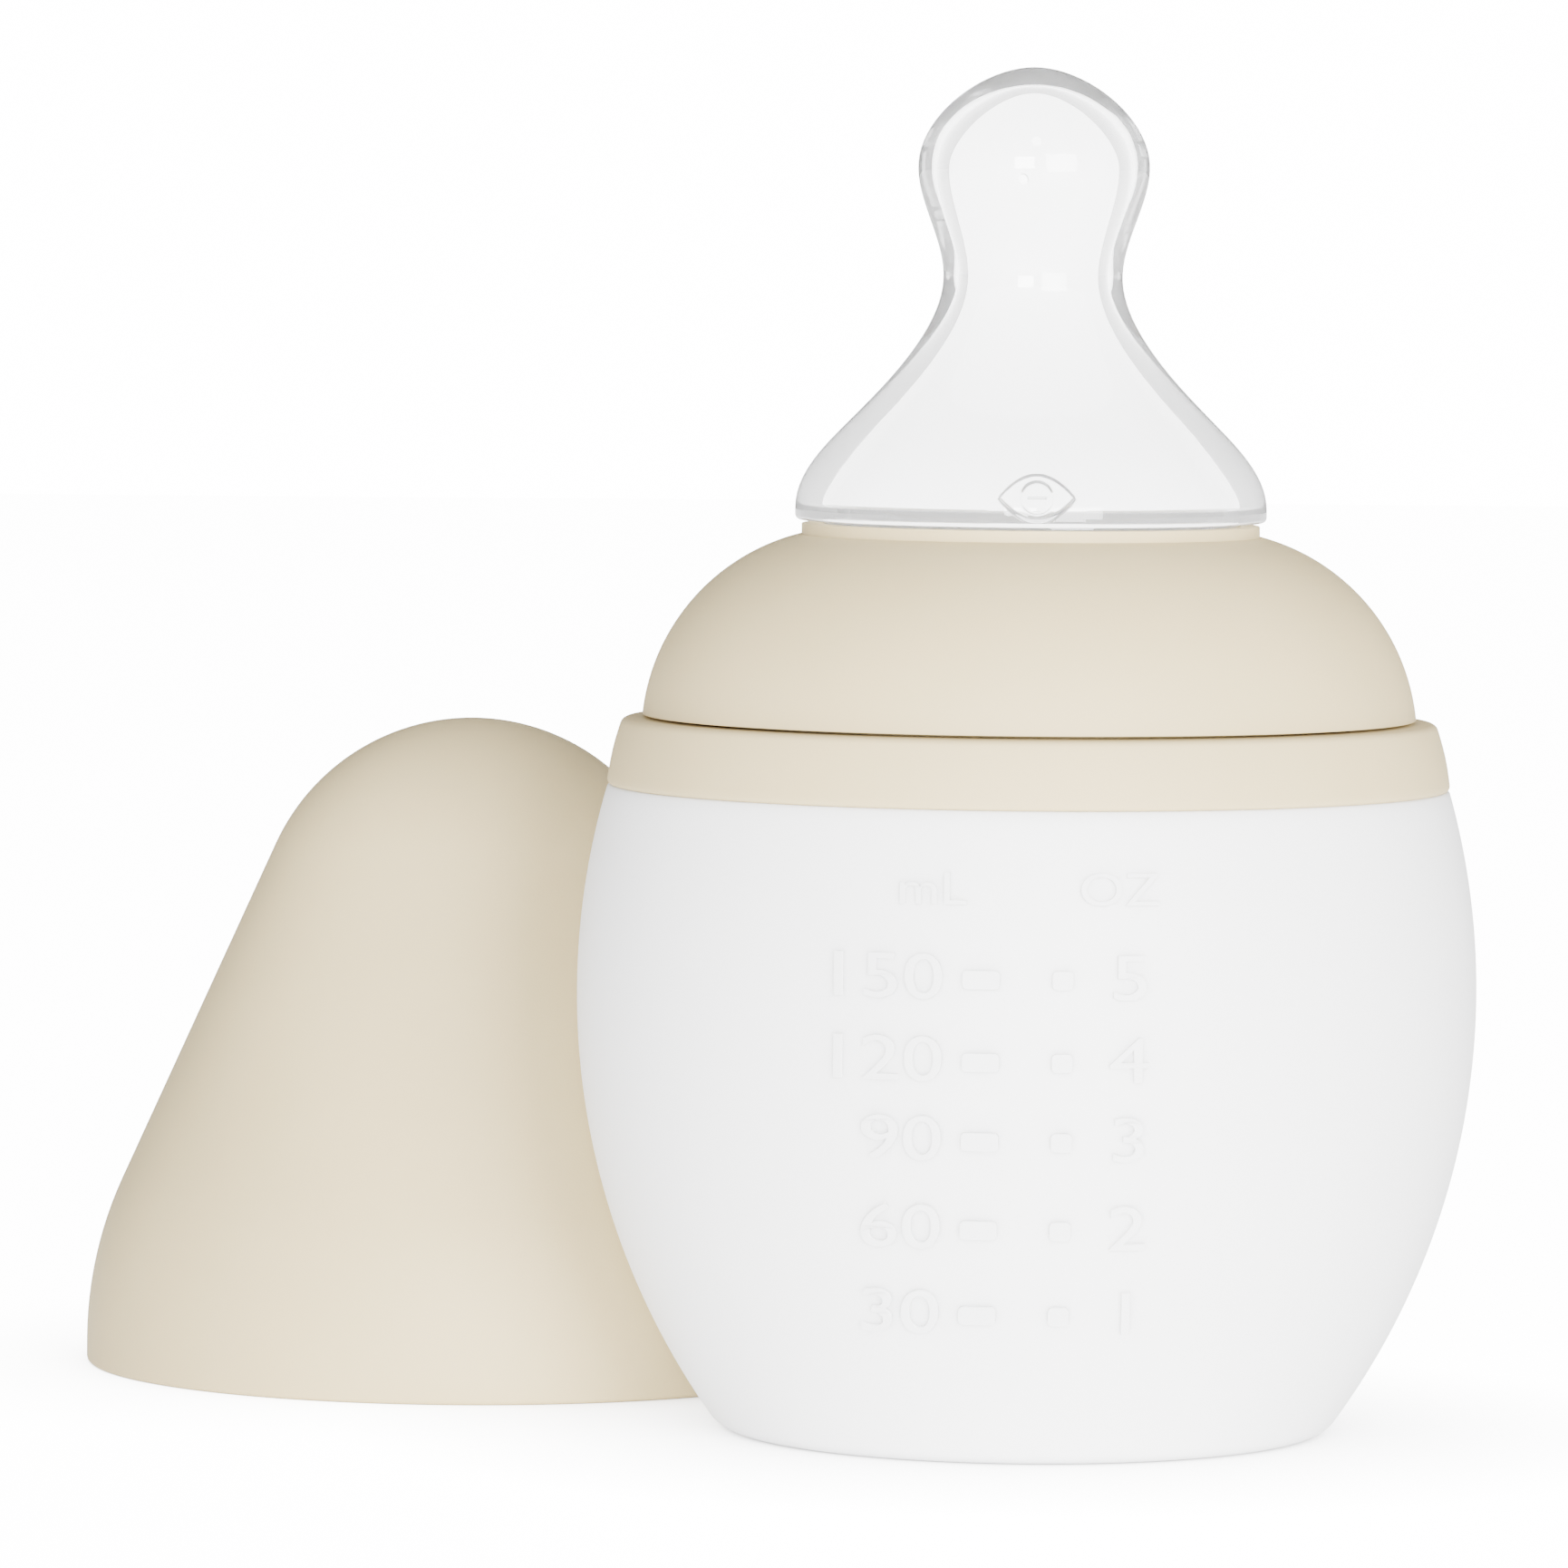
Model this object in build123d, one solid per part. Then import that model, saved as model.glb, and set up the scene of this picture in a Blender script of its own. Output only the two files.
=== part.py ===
"""Soft round baby bottle: silicone body, threaded neck ring, domed screw collar, clear teat and travel cap.

Millimetres. The origin is the centre of the bottle's base, +Z points up along the bottle's axis, and the
teat's vent valve and the graduated side face -Y. The cap stands beside the bottle on the same surface.
"""

import os
from math import asin, atan2, cos, hypot, pi, sin, sqrt

from build123d import *

# --- Bottle body: one soft silicone moulding -------------------------------------------------------
BODY_RADIUS = 40.5  # widest half width
BODY_WIDEST_Z = 39.5  # height of the widest place
BODY_SIDE_ARC = 66.0  # radius of the arc that the side follows
BODY_WALL = 3.2
BASE_THICKNESS = 3.6
BASE_EDGE_FILLET = 3.0
BASE_INNER_FILLET = 5.0
BASE_GROOVE_RADIUS = 19.0  # moulded ring groove under the base
BASE_GROOVE_WIDTH = 1.2
BASE_GROOVE_DEPTH = 0.5
SHOULDER_Z = 58.0  # the neck ring sits on this shoulder
SHOULDER_FILLET = 0.5
NECK_RADIUS = 29.7  # outside of the soft neck
NECK_WALL = 3.0
THROAT_FILLET = 2.4  # between the inside of the side and the neck

# --- Scale: a raised dash on the front of the body for every 30 ml ----------------------------------
DASH_HEIGHTS = (14.4, 22.7, 29.9, 37.0, 44.0)
DASH_WIDTH = 1.6
DASH_RELIEF = 0.3
DASH_SPANS = ((-5.9, -3.1), (1.9, 4.1))  # ends of the ml dash and of the oz dash, across the front

# --- Neck ring: stiff, with the ledge that carries the cap and the thread for the collar ------------
RING_HEIGHT = 6.0
RING_PROUD = 0.1  # how far the skirt's foot stands out from the body
RING_TAPER = 1.35  # how much narrower the skirt is at the ledge
RING_SKIRT_WALL = 1.9
RING_LEDGE_WALL = 1.6
RING_EDGE_FILLET = 0.7
SPIGOT_WALL = 1.5
SPIGOT_RISE = 4.4  # spigot above the ledge

# --- Lip of the body, folded over the top of the spigot --------------------------------------------
RIM_FOLD = 1.3  # how far the lip reaches out over the spigot
RIM_THICKNESS = 1.6
RIM_FILLET = 0.5

# --- Thread between ring and collar ----------------------------------------------------------------
THREAD_PITCH = 2.5
THREAD_DEPTH = 0.85
THREAD_ROOT_WIDTH = 1.2
THREAD_CREST_WIDTH = 0.6
THREAD_TURNS = 1.0
THREAD_START = 1.1  # middle of the ring's ridge above the ledge at its lower end
THREAD_RADIAL_GAP = 0.3
THREAD_FLANK_GAP = 0.2
THREAD_SINK = 0.1  # how far a ridge reaches into its wall

# --- Collar: stiff dome that clamps the teat on the lip --------------------------------------------
COLLAR_GAP = 0.3  # between the collar's foot and the ledge
COLLAR_FOOT_WALL = 2.45  # from the bore out to the dome's widest place
COLLAR_ARC = 18.8  # radius of the dome's section
COLLAR_ARC_INSET = 18.7  # from the dome's widest place in to the arc's centre
COLLAR_ARC_DROP = 1.6  # arc's centre below the ledge
COLLAR_WALL = 1.5
COLLAR_FOOT_FILLET = 0.4
LIP_OUTER_RADIUS = 20.6
LIP_INNER_RADIUS = 18.9
LIP_TOP = 17.6  # top of the upright lip above the ledge
LIP_FILLET = 0.4

# --- Teat: one clear silicone moulding -------------------------------------------------------------
TEAT_CLEARANCE = 0.3  # between the teat and the collar round it
TEAT_WALL = 1.6  # under the collar
NIPPLE_WALL = 2.4  # thicker where the baby bites
TEAT_SEAT_THICKNESS = 1.6  # flange that seals on the body's lip
TEAT_SEAT_SETBACK = 0.3  # the flange's inner edge lies this far outside the body's mouth
BULGE_RADIUS = 21.2  # widest place, just above the collar's lip
BULGE_RISE = 1.4  # widest place above the lip
BULGE_FILLET = 0.8
NIPPLE_NECK_WIDTH = 16.1
NIPPLE_NECK_DEPTH = 12.0
NIPPLE_BULB_WIDTH = 20.7
NIPPLE_BULB_DEPTH = 16.0
SHOULDER_RISE = 8.8  # heights above the lip's top
FLARE_RISE = 15.3
NECK_RISE = 22.2
BULB_RISE = 32.8
TIP_RISE = 41.0
SHOULDER_SHARE = 0.793  # half widths as shares of the bulge's radius
FLARE_SHARE = 0.516
SHOULDER_FLATTEN = 0.94  # depth over width
FLARE_FLATTEN = 0.86
WALL_POINTS = 9  # points that carry the inside of the nipple
FLATTEN_SPARE = 0.6  # the flattening starts above the bulge and stops below the tip

# --- Feeding holes and vent valve ------------------------------------------------------------------
FEED_HOLE_RADIUS = 0.45
FRONT_HOLE_DROP = 6.7  # below the tip
REAR_HOLE_DROP = 9.8
REAR_HOLE_OFFSET = -0.8
VENT_RISE = 2.9  # valve's centre above the lip
VENT_WIDTH = 6.9
VENT_HEIGHT = 5.0
VENT_DEPTH = 1.0
VENT_DISC_RADIUS = 1.85
VENT_DISC_HEIGHT = 0.45
VENT_SLIT_LENGTH = 1.8
VENT_SLIT_WIDTH = 0.25

# --- Cap: stiff cover that stands on the ledge when the bottle is closed ---------------------------
CAP_SETBACK = 0.2  # the rim stands this far in from the ledge's edge
CAP_WALL = 1.4
CAP_HEADROOM = 1.3  # between the teat's tip and the inside of the closed cap
CAP_CROWN_RADIUS = 20.5
CAP_SIDE_ARC = 36.9  # arc between the cone and the upright foot
CAP_FOOT_HEIGHT = 2.0  # upright stretch above the rim
CAP_RIM_FILLET = 0.5
CAP_GAP = 1.0  # least gap between the standing cap and the bottle
CAP_BEARING = (-0.729, 0.684)  # direction from the bottle to the cap, seen from above


def body_side(z, inset=0.0):
    """Radius of the body's side arc at a height, moved in by an inset."""
    centre = BODY_RADIUS - BODY_SIDE_ARC
    return centre + sqrt((BODY_SIDE_ARC - inset) ** 2 - (z - BODY_WIDEST_Z) ** 2)


# --- Heights and radii that follow -----------------------------------------------------------------
RING_FOOT_RADIUS = body_side(SHOULDER_Z) + RING_PROUD
RING_LEDGE_RADIUS = RING_FOOT_RADIUS - RING_TAPER
MOUTH_RADIUS = NECK_RADIUS - NECK_WALL
RIM_RADIUS = NECK_RADIUS + RIM_FOLD
CAP_RADIUS = RING_LEDGE_RADIUS - CAP_SETBACK
LEDGE_Z = SHOULDER_Z + RING_HEIGHT
SPIGOT_TOP_Z = LEDGE_Z + SPIGOT_RISE
SPIGOT_RADIUS = NECK_RADIUS + SPIGOT_WALL
THREAD_CREST_RADIUS = SPIGOT_RADIUS + THREAD_DEPTH
COLLAR_BORE_RADIUS = THREAD_CREST_RADIUS + THREAD_RADIAL_GAP
RIM_TOP_Z = SPIGOT_TOP_Z + RIM_THICKNESS
COLLAR_FOOT_Z = LEDGE_Z + COLLAR_GAP
DOME_CENTRE_R = COLLAR_BORE_RADIUS + COLLAR_FOOT_WALL - COLLAR_ARC_INSET
DOME_CENTRE_Z = LEDGE_Z - COLLAR_ARC_DROP
LIP_TOP_Z = LEDGE_Z + LIP_TOP
TIP_Z = LIP_TOP_Z + TIP_RISE


def dome_radius(z, inset=0.0):
    """Radius of the collar's dome at a height, moved in by an inset."""
    return DOME_CENTRE_R + sqrt((COLLAR_ARC - inset) ** 2 - (z - DOME_CENTRE_Z) ** 2)


def dome_height(r, inset=0.0):
    """Height of the collar's dome at a radius, moved in by an inset."""
    return DOME_CENTRE_Z + sqrt((COLLAR_ARC - inset) ** 2 - (r - DOME_CENTRE_R) ** 2)


def side_arc(z0, z1, inset=0.0):
    """Arc of the body's side between two heights."""
    points = [(body_side(z, inset), z) for z in (z0, (z0 + z1) / 2, z1)]
    return ThreePointArc(*points)


def dome_arc(start, end, inset=0.0):
    """Arc of the dome's section between two points that lie on it."""
    middle_z = (start[1] + end[1]) / 2
    return ThreePointArc(start, (dome_radius(middle_z, inset), middle_z), end)


def turned(outline):
    """Solid of revolution about +Z from a closed outline of radius and height."""
    return revolve(Plane.XZ * make_face(outline), Axis.Z)


def rounded(outline, corners):
    """The outline's face with its corners at the given points filleted, as ((r, z), radius) pairs."""
    face = make_face(outline)
    for (r, z), radius in corners:
        corner = face.vertices().sort_by_distance((r, z, 0))[0]
        face = fillet(corner, radius)
    return face


def spun(face):
    """Solid of revolution about +Z from a face of radius and height."""
    return revolve(Plane.XZ * face, Axis.Z)


# --- Bottle body -----------------------------------------------------------------------------------
def bottle_body():
    shoulder_radius = body_side(SHOULDER_Z)
    throat_z = SHOULDER_Z - BODY_WALL
    outer = [
        Line((0, 0), (body_side(0), 0)),
        side_arc(0, SHOULDER_Z),
        Polyline(
            (shoulder_radius, SHOULDER_Z),
            (NECK_RADIUS, SHOULDER_Z),
            (NECK_RADIUS, SPIGOT_TOP_Z),
            (RIM_RADIUS, SPIGOT_TOP_Z),
            (RIM_RADIUS, RIM_TOP_Z),
            (MOUTH_RADIUS, RIM_TOP_Z),
            (MOUTH_RADIUS, throat_z),
            (body_side(throat_z, BODY_WALL), throat_z),
        ),
        side_arc(throat_z, BASE_THICKNESS, BODY_WALL),
        Polyline((body_side(BASE_THICKNESS, BODY_WALL), BASE_THICKNESS), (0, BASE_THICKNESS), (0, 0)),
    ]
    corners = [
        ((body_side(0), 0), BASE_EDGE_FILLET),
        ((shoulder_radius, SHOULDER_Z), SHOULDER_FILLET),
        ((RIM_RADIUS, RIM_TOP_Z), RIM_FILLET),
        ((MOUTH_RADIUS, RIM_TOP_Z), RIM_FILLET),
        ((MOUTH_RADIUS, throat_z), THROAT_FILLET),
        ((body_side(throat_z, BODY_WALL), throat_z), THROAT_FILLET),
        ((body_side(BASE_THICKNESS, BODY_WALL), BASE_THICKNESS), BASE_INNER_FILLET),
    ]
    body = spun(rounded(outer, corners))
    groove = Cylinder(BASE_GROOVE_RADIUS, 2 * BASE_GROOVE_DEPTH)
    groove -= Cylinder(BASE_GROOVE_RADIUS - BASE_GROOVE_WIDTH, 2 * BASE_GROOVE_DEPTH)
    return body - groove + scale_dashes()


def scale_dashes():
    """Raised dashes that follow the front of the body."""
    low, high = DASH_HEIGHTS[0] - DASH_WIDTH, DASH_HEIGHTS[-1] + DASH_WIDTH
    inset = BODY_WALL / 2
    skin = [
        side_arc(low, high, -DASH_RELIEF),
        Line((body_side(high, -DASH_RELIEF), high), (body_side(high, inset), high)),
        side_arc(high, low, inset),
        Line((body_side(low, inset), low), (body_side(low, -DASH_RELIEF), low)),
    ]
    layer = turned(skin)
    dashes = []
    for z in DASH_HEIGHTS:
        for left, right in DASH_SPANS:
            bar = Box(right - left, BODY_RADIUS, DASH_WIDTH)
            dashes.append(layer & Pos((left + right) / 2, -BODY_RADIUS, z) * bar)
    return dashes


# --- Screw thread ----------------------------------------------------------------------------------
def thread_ridge(wall_radius, inward, start_z):
    """One helical ridge on a wall, standing outwards or inwards from it."""
    path = Helix(THREAD_PITCH, THREAD_PITCH * THREAD_TURNS, wall_radius).moved(Location((0, 0, start_z)))
    side = -1 if inward else 1
    root, crest = THREAD_ROOT_WIDTH / 2, THREAD_CREST_WIDTH / 2
    across = Plane(origin=path @ 0, x_dir=(1, 0, 0), z_dir=path % 0)
    outline = Polyline(
        (-side * THREAD_SINK, -root),
        (side * THREAD_DEPTH, -crest),
        (side * THREAD_DEPTH, crest),
        (-side * THREAD_SINK, root),
        close=True,
    )
    return sweep(across * make_face(outline), path=path, is_frenet=True)


# --- Neck ring -------------------------------------------------------------------------------------
def neck_ring():
    ledge_under = LEDGE_Z - RING_LEDGE_WALL
    skirt_foot = RING_FOOT_RADIUS - RING_SKIRT_WALL
    skirt_top = RING_LEDGE_RADIUS - RING_SKIRT_WALL
    outline = [
        RadiusArc((RING_LEDGE_RADIUS, LEDGE_Z), (RING_FOOT_RADIUS, SHOULDER_Z), BODY_SIDE_ARC),
        Polyline(
            (RING_FOOT_RADIUS, SHOULDER_Z),
            (skirt_foot, SHOULDER_Z),
            (skirt_top, ledge_under),
            (SPIGOT_RADIUS, ledge_under),
            (SPIGOT_RADIUS, SHOULDER_Z),
            (NECK_RADIUS, SHOULDER_Z),
            (NECK_RADIUS, SPIGOT_TOP_Z),
            (SPIGOT_RADIUS, SPIGOT_TOP_Z),
            (SPIGOT_RADIUS, LEDGE_Z),
            (RING_LEDGE_RADIUS, LEDGE_Z),
        ),
    ]
    ring = spun(rounded(outline, [((RING_LEDGE_RADIUS, LEDGE_Z), RING_EDGE_FILLET)]))
    return ring + thread_ridge(SPIGOT_RADIUS, False, LEDGE_Z + THREAD_START)


# --- Collar ----------------------------------------------------------------------------------------
def collar():
    foot = (dome_radius(COLLAR_FOOT_Z), COLLAR_FOOT_Z)
    lip_foot = (LIP_OUTER_RADIUS, dome_height(LIP_OUTER_RADIUS))
    roof = (LIP_INNER_RADIUS, dome_height(LIP_INNER_RADIUS, COLLAR_WALL))
    bore_r = COLLAR_BORE_RADIUS
    bore_top = (bore_r, dome_height(bore_r, COLLAR_WALL))
    outline = [
        dome_arc(foot, lip_foot),
        Polyline(lip_foot, (LIP_OUTER_RADIUS, LIP_TOP_Z), (LIP_INNER_RADIUS, LIP_TOP_Z), roof),
        dome_arc(roof, bore_top, COLLAR_WALL),
        Polyline(bore_top, (bore_r, COLLAR_FOOT_Z), foot),
    ]
    corners = [
        (foot, COLLAR_FOOT_FILLET),
        ((LIP_OUTER_RADIUS, LIP_TOP_Z), LIP_FILLET),
        ((LIP_INNER_RADIUS, LIP_TOP_Z), LIP_FILLET),
    ]
    shell = spun(rounded(outline, corners))
    mean_width = (THREAD_ROOT_WIDTH + THREAD_CREST_WIDTH) / 2
    ridge_z = LEDGE_Z + THREAD_START - mean_width - THREAD_FLANK_GAP + THREAD_PITCH / 2
    ridge = Rot(0, 0, 180) * thread_ridge(bore_r, True, ridge_z)
    return shell + ridge


# --- Teat ------------------------------------------------------------------------------------------
def nipple_curve(half_widths, spare=0.0, wall=0.0):
    """Half of the nipple's outline, from the bulge up to the tip, moved in by a wall."""
    rises = (SHOULDER_RISE, FLARE_RISE, NECK_RISE, BULB_RISE)
    points = [(half_widths[0] + spare, LIP_TOP_Z + BULGE_RISE)]
    points += [(r, LIP_TOP_Z + rise) for r, rise in zip(half_widths[1:], rises)]
    points.append((0, TIP_Z + spare))
    outside = Spline(*points, tangents=((0, 1), (-1, 0)))
    if not wall:
        return outside
    inside = []
    for i in range(WALL_POINTS):
        along = outside % (i / (WALL_POINTS - 1))
        inside.append(outside @ (i / (WALL_POINTS - 1)) + Vector(-along.Y, along.X) * wall)
    return Spline(*inside, tangents=((0, 1), (-1, 0)))


def nipple_solid(wall=0.0):
    """The nipple's outside, or its hollow when a wall is given: round, and flattened front and back."""
    half = (BULGE_RADIUS, BULGE_RADIUS * SHOULDER_SHARE, BULGE_RADIUS * FLARE_SHARE)
    widths = (*half, NIPPLE_NECK_WIDTH / 2, NIPPLE_BULB_WIDTH / 2)
    flatten = (1.0, SHOULDER_FLATTEN, FLARE_FLATTEN)
    depths = (*(r * f for r, f in zip(half, flatten)), NIPPLE_NECK_DEPTH / 2, NIPPLE_BULB_DEPTH / 2)
    foot_z = LIP_TOP_Z + BULGE_RISE
    wide = nipple_curve(widths, wall=wall)
    deep = nipple_curve(depths, spare=FLATTEN_SPARE, wall=wall)
    round_solid = turned([wide, Polyline(wide @ 1, (0, foot_z), wide @ 0)])
    half_slab = make_face([deep, Polyline(deep @ 1, (0, foot_z), deep @ 0)])
    slab = extrude(Plane.YZ * half_slab, 2 * BULGE_RADIUS, both=True)
    return round_solid & (slab + mirror(slab, Plane.XZ))


def teat():
    groove_r = LIP_INNER_RADIUS - TEAT_CLEARANCE
    skirt_inset = COLLAR_WALL + TEAT_CLEARANCE
    lining_inset = skirt_inset + TEAT_WALL
    bulge_z = LIP_TOP_Z + BULGE_RISE
    bulge_foot = (BULGE_RADIUS, LIP_TOP_Z + TEAT_CLEARANCE)
    skirt_top = (groove_r, dome_height(groove_r, skirt_inset))
    seat_top = RIM_TOP_Z + TEAT_SEAT_THICKNESS
    flange_r = min(dome_radius(seat_top, skirt_inset), COLLAR_BORE_RADIUS - TEAT_CLEARANCE)
    skirt_foot = (flange_r, dome_height(flange_r, skirt_inset))
    outline = [
        Polyline(
            (0, bulge_z),
            (BULGE_RADIUS, bulge_z),
            bulge_foot,
            (groove_r, LIP_TOP_Z + TEAT_CLEARANCE),
            skirt_top,
        ),
        dome_arc(skirt_top, skirt_foot, skirt_inset),
        Polyline(skirt_foot, (flange_r, RIM_TOP_Z), (0, RIM_TOP_Z), (0, bulge_z)),
    ]
    outside = spun(rounded(outline, [(bulge_foot, BULGE_FILLET)])) + nipple_solid()

    throat_r = groove_r - TEAT_WALL
    seat_r = MOUTH_RADIUS + TEAT_SEAT_SETBACK
    lining_r = min(dome_radius(seat_top + TEAT_WALL / 2, lining_inset), flange_r - TEAT_WALL)
    lining_top = (throat_r, dome_height(throat_r, lining_inset))
    lining_foot = (lining_r, dome_height(lining_r, lining_inset))
    hollow = [
        Polyline(
            (0, bulge_z),
            (BULGE_RADIUS - NIPPLE_WALL, bulge_z),
            (throat_r, LIP_TOP_Z - TEAT_WALL / 2),
            lining_top,
        ),
        dome_arc(lining_top, lining_foot, lining_inset),
        Polyline(
            lining_foot,
            (lining_r, seat_top),
            (seat_r, seat_top),
            (seat_r, RIM_TOP_Z),
            (0, RIM_TOP_Z),
            (0, bulge_z),
        ),
    ]
    solid = outside - turned(hollow) - nipple_solid(NIPPLE_WALL)
    return solid - feed_holes() - vent_pocket()


def feed_holes():
    """Small holes through the nipple's front and back, below the tip."""
    reach = NIPPLE_BULB_DEPTH
    front = Pos(0, -reach / 2, TIP_Z - FRONT_HOLE_DROP) * Rot(90, 0, 0) * Cylinder(FEED_HOLE_RADIUS, reach)
    rear = Pos(REAR_HOLE_OFFSET, reach / 2, TIP_Z - REAR_HOLE_DROP)
    return front + rear * Rot(90, 0, 0) * Cylinder(FEED_HOLE_RADIUS, reach)


def vent_pocket():
    """Oval pocket in the front of the bulge, less the raised disc on its floor, plus the disc's slit."""
    vent_z = LIP_TOP_Z + VENT_RISE
    floor_y = -(BULGE_RADIUS - VENT_DEPTH)
    front = Plane(origin=(0, floor_y, vent_z), x_dir=(1, 0, 0), z_dir=(0, -1, 0))
    pocket = extrude(front * Ellipse(VENT_WIDTH / 2, VENT_HEIGHT / 2), 2 * VENT_DEPTH)
    disc = extrude(front * Circle(VENT_DISC_RADIUS), VENT_DISC_HEIGHT)
    slit = Pos(0, floor_y, vent_z) * Box(VENT_SLIT_LENGTH, 4 * TEAT_WALL, VENT_SLIT_WIDTH)
    return pocket - disc + slit


# --- Cap -------------------------------------------------------------------------------------------
def cap_height():
    return TIP_Z - LEDGE_Z + CAP_HEADROOM + CAP_WALL


def cap_lean():
    """Angle of the cap's cone from upright."""
    run, rise = CAP_SIDE_ARC - CAP_RADIUS, cap_height() - CAP_CROWN_RADIUS - CAP_FOOT_HEIGHT
    return asin((CAP_SIDE_ARC - CAP_CROWN_RADIUS) / hypot(run, rise)) - atan2(run, rise)


def cap_radius(z):
    """Outside radius of the cap at a height below its crown."""
    lean = cap_lean()
    upright_r = CAP_RADIUS - CAP_SIDE_ARC
    above = max(z - CAP_FOOT_HEIGHT, 0)
    if above < CAP_SIDE_ARC * sin(lean):
        return upright_r + sqrt(CAP_SIDE_ARC**2 - above**2)
    return upright_r + (CAP_SIDE_ARC - above * sin(lean)) / cos(lean)


def cap_outline(inset=0.0):
    """Crown arc, straight cone, side arc and upright foot, each tangent to the next."""
    lean = cap_lean()
    crown_z = cap_height() - CAP_CROWN_RADIUS
    crown, side = CAP_CROWN_RADIUS - inset, CAP_SIDE_ARC - inset
    side_r, side_z = CAP_RADIUS - CAP_SIDE_ARC, CAP_FOOT_HEIGHT
    foot_r = CAP_RADIUS - inset
    crown_turn = (lean + pi / 2) / 2
    crown_middle = (crown * cos(crown_turn), crown_z + crown * sin(crown_turn))
    crown_end = (crown * cos(lean), crown_z + crown * sin(lean))
    side_start = (side_r + side * cos(lean), side_z + side * sin(lean))
    side_middle = (side_r + side * cos(lean / 2), side_z + side * sin(lean / 2))
    return [
        ThreePointArc((0, crown_z + crown), crown_middle, crown_end),
        Line(crown_end, side_start),
        ThreePointArc(side_start, side_middle, (foot_r, side_z)),
        Polyline((foot_r, side_z), (foot_r, 0), (0, 0), (0, crown_z + crown)),
    ]


def cap_place():
    """Where the cap stands: along its bearing, a small gap away from the bottle's side."""
    reach = [body_side(z) + cap_radius(z) for z in range(int(SHOULDER_Z))]
    apart = max(reach) + CAP_GAP
    bearing = hypot(*CAP_BEARING)
    return Pos(*(apart * share / bearing for share in CAP_BEARING), 0)


def cap():
    outside = spun(rounded(cap_outline(), [((CAP_RADIUS, 0), CAP_RIM_FILLET)]))
    return cap_place() * (outside - turned(cap_outline(CAP_WALL)))


PARTS = {
    "bottle_body": bottle_body,
    "neck_ring": neck_ring,
    "collar": collar,
    "teat": teat,
    "cap": cap,
}

os.makedirs("parts", exist_ok=True)
for name, make in PARTS.items():
    export_step(make(), f"parts/{name}.step")
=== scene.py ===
"""The looks of a squat silicone baby bottle: frosted body, clear teat, beige neck ring, collar and cap."""

import math

import bmesh
import bpy
from mathutils import Matrix, Vector


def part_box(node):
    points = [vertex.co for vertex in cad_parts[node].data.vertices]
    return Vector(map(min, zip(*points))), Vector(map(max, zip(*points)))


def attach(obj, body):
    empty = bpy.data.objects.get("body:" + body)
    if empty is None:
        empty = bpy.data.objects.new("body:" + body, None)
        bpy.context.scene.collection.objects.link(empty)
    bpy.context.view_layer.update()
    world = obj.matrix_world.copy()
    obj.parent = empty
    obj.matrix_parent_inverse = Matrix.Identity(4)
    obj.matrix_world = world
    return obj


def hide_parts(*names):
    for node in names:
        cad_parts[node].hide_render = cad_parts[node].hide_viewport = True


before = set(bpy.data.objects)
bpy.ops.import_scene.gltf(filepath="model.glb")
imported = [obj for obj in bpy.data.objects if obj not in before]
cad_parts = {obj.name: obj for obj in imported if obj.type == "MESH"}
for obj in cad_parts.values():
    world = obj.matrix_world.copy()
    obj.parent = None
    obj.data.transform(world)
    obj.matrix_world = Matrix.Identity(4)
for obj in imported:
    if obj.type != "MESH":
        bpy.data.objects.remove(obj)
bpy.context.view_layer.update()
bpy.ops.object.select_all(action="DESELECT")


# === Bottle body ===================================================================================
# One soft moulding of frosted silicone: an egg-shaped side on a flat base, a throat, and a neck whose
# lip folds over the ring's spigot. Liquid silicone is injected round a core, so its skin is matte.
BODY_WIDEST = 0.0405
BODY_WIDEST_Z = 0.0395
SIDE_ARC = 0.066
BODY_WALL = 0.0032
BASE_THICKNESS = 0.0036
BASE_EDGE = 0.003
BASE_INNER_EDGE = 0.005
SHOULDER_Z = 0.058
NECK_RADIUS = 0.0297
NECK_BORE = 0.0267
THROAT_EDGE = 0.0024
THROAT_CHAMFER = (0.4, 0.3)
GROOVE_OUTER = 0.019
GROOVE_INNER = 0.0178
GROOVE_DEPTH = 0.0005
LIP_FOLD_RADIUS = 0.031
LIP_FOLD_Z = 0.0684
LIP_TOP_Z = 0.070
ROUND_STEPS = 192
WELD = 1e-6
MOULD_CORNER = 0.00035
SILICONE_IOR = 1.41
SILICONE_SCATTER = (1.0, 0.98, 0.95)
MOTTLE_LOW = 0.3
MOTTLE_HIGH = 0.7


def arc(centre, radius, start, end, steps):
    """Points of an arc in radius and height, from one angle to another in radians."""
    turns = [start + (end - start) * i / steps for i in range(steps + 1)]
    return [(centre[0] + radius * math.cos(t), centre[1] + radius * math.sin(t)) for t in turns]


def pull_ring(before, after, centre):
    """Extrudes the selected ring to the next one's height and size."""
    bpy.ops.mesh.extrude_region_move(TRANSFORM_OT_translate={"value": (0, 0, after[2] - before[2])})
    if after[0] == 0:
        bpy.ops.mesh.merge(type="CENTER")
        return
    sizes = (after[0] / before[0], after[1] / before[1], 1)
    bpy.ops.transform.resize(value=sizes, center_override=(*centre, after[2]))


def select_open_edges():
    """Selects the edges at the open ends of the shell in edit mode."""
    bpy.ops.mesh.select_all(action="DESELECT")
    bpy.ops.mesh.select_mode(type="EDGE")
    bpy.ops.mesh.select_non_manifold(extend=False, use_wire=False, use_multi_face=False,
                                     use_non_contiguous=False, use_verts=False)


def close_skin():
    """Merges doubled points, turns the faces outwards and leaves edit mode."""
    bpy.ops.mesh.select_all(action="SELECT")
    bpy.ops.mesh.remove_doubles(threshold=WELD)
    bpy.ops.mesh.normals_make_consistent(inside=False)
    bpy.ops.object.mode_set(mode="OBJECT")


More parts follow.
